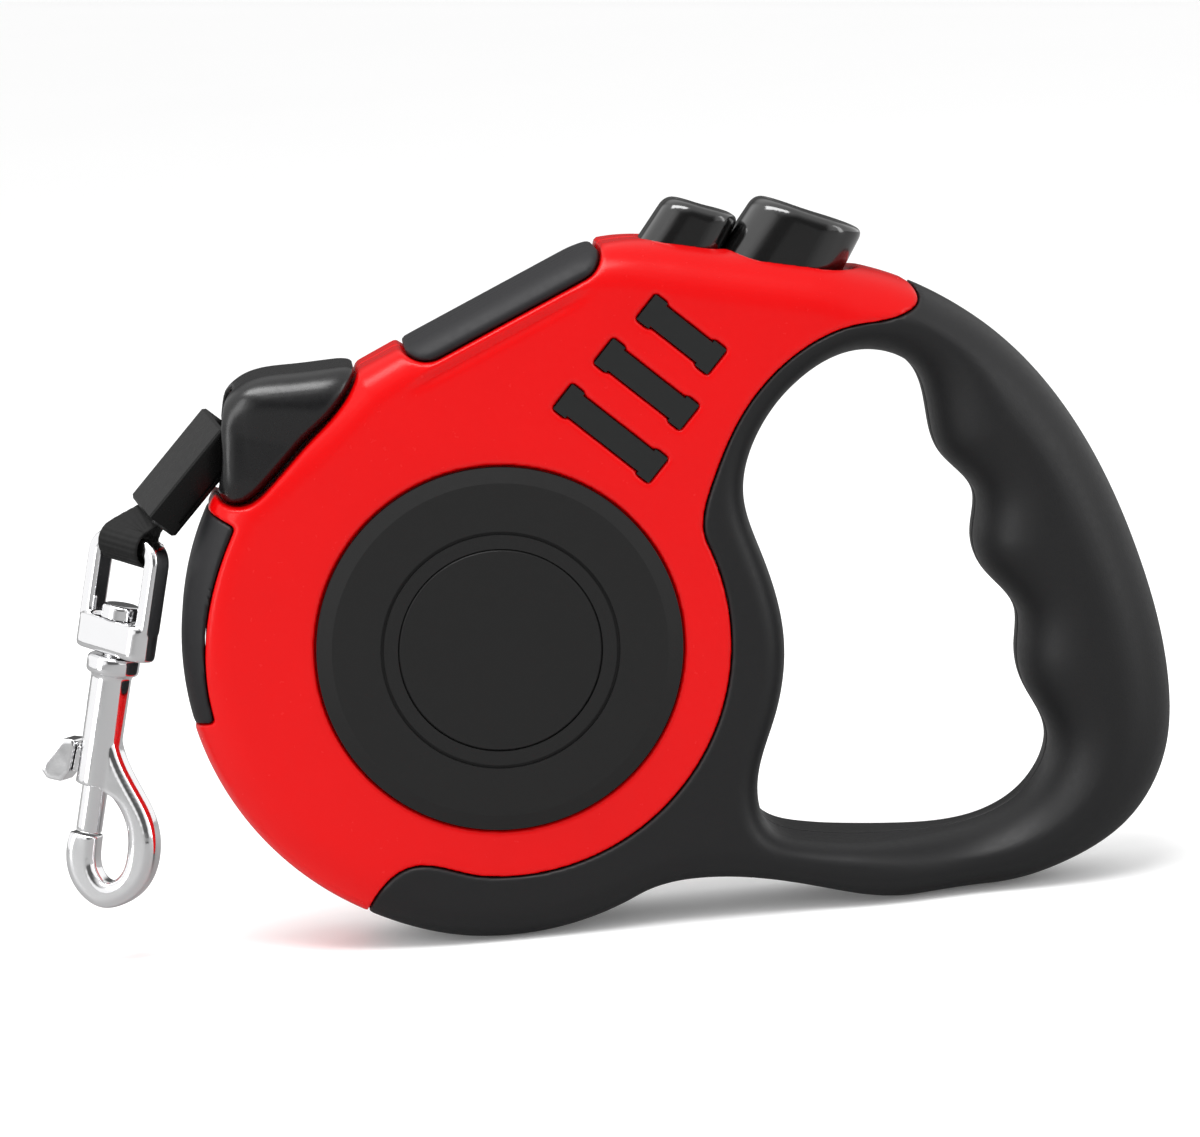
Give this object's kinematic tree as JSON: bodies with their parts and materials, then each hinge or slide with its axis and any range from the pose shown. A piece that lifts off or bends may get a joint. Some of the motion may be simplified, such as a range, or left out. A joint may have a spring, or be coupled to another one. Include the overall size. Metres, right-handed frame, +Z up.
{
  "type": "retractable dog leash",
  "caption": "Retractable dog leash: round reel case with an open hand grip, brake and lock buttons, and a flat tape that ends in a swivel bolt snap.",
  "frame": {"origin": "middle of the bounding box, at its bottom", "axes": "+Z up, +X from the snap towards the hand grip, Y across the flat case"},
  "size_m": [0.1982, 0.0304, 0.1255],
  "materials": {
    "red_plastic": "satin",
    "grip_plastic": "fine textured matt",
    "rest_plastic": "smooth matt",
    "bumper_rubber": "matt",
    "nozzle_plastic": "satin",
    "cap_plastic": "matt",
    "badge_plastic": "matt",
    "inlay_plastic": "matt",
    "button_plastic": "glossy",
    "spring_steel": "plain",
    "pin_steel": "plain",
    "reel_plastic": "plain",
    "webbing": "woven",
    "sleeve_plastic": "satin",
    "snap_chrome": "polished"
  },
  "bodies": {
    "housing": {"left_shell": "red_plastic", "right_shell": "red_plastic", "left_grip": "grip_plastic", "right_grip": "grip_plastic", "thumb_rest": "rest_plastic", "front_bumper": "bumper_rubber", "nozzle": "nozzle_plastic", "left_side_cap": "cap_plastic", "right_side_cap": "cap_plastic", "left_badge": "badge_plastic", "right_badge": "badge_plastic", "left_inlays": "inlay_plastic", "right_inlays": "inlay_plastic", "tape_guide_pins": "pin_steel", "drum_axle": "pin_steel", "case_screws": "pin_steel", "spring_arbor": "reel_plastic", "thrust_washers": "reel_plastic", "brake_spring": "spring_steel", "lock_spring": "spring_steel", "tape_run": "webbing"},
    "reel": {"drum": "reel_plastic", "spring_cover": "reel_plastic", "clock_spring": "spring_steel", "tape_pack": "webbing"},
    "leash_end": {"tape_sleeve": "sleeve_plastic", "tape_loop": "webbing"},
    "eye": {"swivel_eye": "snap_chrome"},
    "hook": {"swivel_rivet": "snap_chrome", "hook_body": "snap_chrome", "bolt_spring": "spring_steel"},
    "bolt": {"hook_bolt": "snap_chrome"},
    "brake": {"brake_button": "button_plastic"},
    "lock": {"lock_button": "button_plastic"}
  },
  "joints": [
    {"name": "leash_pull", "type": "slide", "parent": "housing", "child": "leash_end", "axis": [-1, 0, 0], "range_m": [0, 4.9989], "stiffness_N_per_m": 0.5, "springref_m": -5, "deforming": ["tape_run"]},
    {"name": "drum_spin", "type": "hinge", "parent": "housing", "child": "reel", "pos_m": [-0.01832, 0, 0.0514], "axis": [0, -1, 0], "range_deg": [0, 9360], "deforming": ["clock_spring"]},
    {"name": "eye_swing", "type": "hinge", "parent": "leash_end", "child": "eye", "pos_m": [-0.07992, 0, 0.0733], "axis": [-0.6876, 0.7071, 0.1651], "range_deg": [-5, 110]},
    {"name": "hook_swivel", "type": "hinge", "parent": "eye", "child": "hook", "pos_m": [-0.07992, 0, 0.0733], "axis": [0.2334, 0, 0.9724], "continuous": true},
    {"name": "bolt_slide", "type": "slide", "parent": "hook", "child": "bolt", "axis": [0.2334, 0, 0.9724], "range_m": [0, 0.0065], "stiffness_N_per_m": 300, "springref_m": -0.004, "deforming": ["bolt_spring"]},
    {"name": "brake_press", "type": "slide", "parent": "housing", "child": "brake", "axis": [-0.5736, 0, -0.8192], "range_m": [0, 0.0035], "stiffness_N_per_m": 600, "springref_m": -0.003, "deforming": ["brake_spring"]},
    {"name": "lock_press", "type": "slide", "parent": "housing", "child": "lock", "axis": [-0.5736, 0, -0.8192], "range_m": [0, 0.003], "stiffness_N_per_m": 500, "springref_m": -0.003, "deforming": ["lock_spring"]}
  ],
  "couplings": [
    {"joint": "drum_spin", "follows": "leash_pull", "rad_per_m": 32.68}
  ]
}
